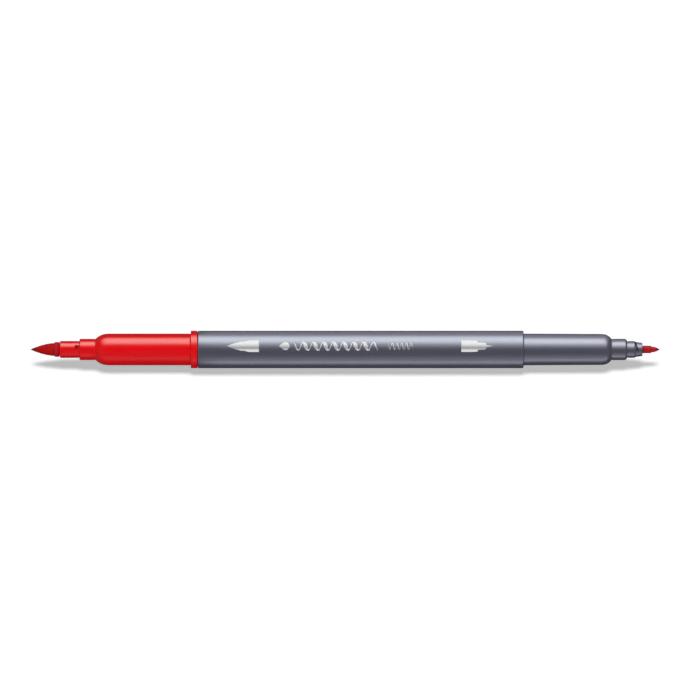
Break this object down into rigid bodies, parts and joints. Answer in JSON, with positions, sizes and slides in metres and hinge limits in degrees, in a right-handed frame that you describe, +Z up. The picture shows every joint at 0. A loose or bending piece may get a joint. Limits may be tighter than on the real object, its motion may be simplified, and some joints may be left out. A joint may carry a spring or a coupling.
{
  "type": "calligraphy marker",
  "caption": "Slim double-ended marker, caps off: a flexible brush tip at one end, a firm fine fibre tip at the other, one ink reservoir inside.",
  "frame": {"origin": "on the surface it lies on, under the barrel's axis, halfway between the points of the two tips", "axes": "+X along the marker from the brush end to the fine end, +Z up, -Y the side with the printed marks"},
  "size_m": [0.151, 0.009, 0.009],
  "materials": {
    "grey_metallic_plastic": "satin",
    "red_plastic": "gloss",
    "brush_fibre": "matte",
    "fine_fibre": "matte",
    "inked_fibre": "matte",
    "clear_film": "gloss",
    "white_tube": "satin",
    "pale_print": "satin"
  },
  "bodies": {
    "pen_body": {"barrel": "grey_metallic_plastic", "brush_section": "red_plastic", "brush_nib_holder": "red_plastic", "brush_nib_root": "brush_fibre", "fine_section": "grey_metallic_plastic", "fine_nib_holder": "grey_metallic_plastic", "fine_nib": "fine_fibre", "reservoir_core": "inked_fibre", "reservoir_film": "clear_film", "breather_tube": "white_tube"},
    "brush_tip": {"brush_nib_tip": "brush_fibre"}
  },
  "joints": [
    {"name": "brush_tip_flex", "type": "hinge", "parent": "pen_body", "child": "brush_tip", "pos_m": [-0.07, 0, 0.00449], "axis": [0, 1, 0], "range_deg": [-20, 20], "stiffness_Nm_per_rad": 0.005}
  ]
}
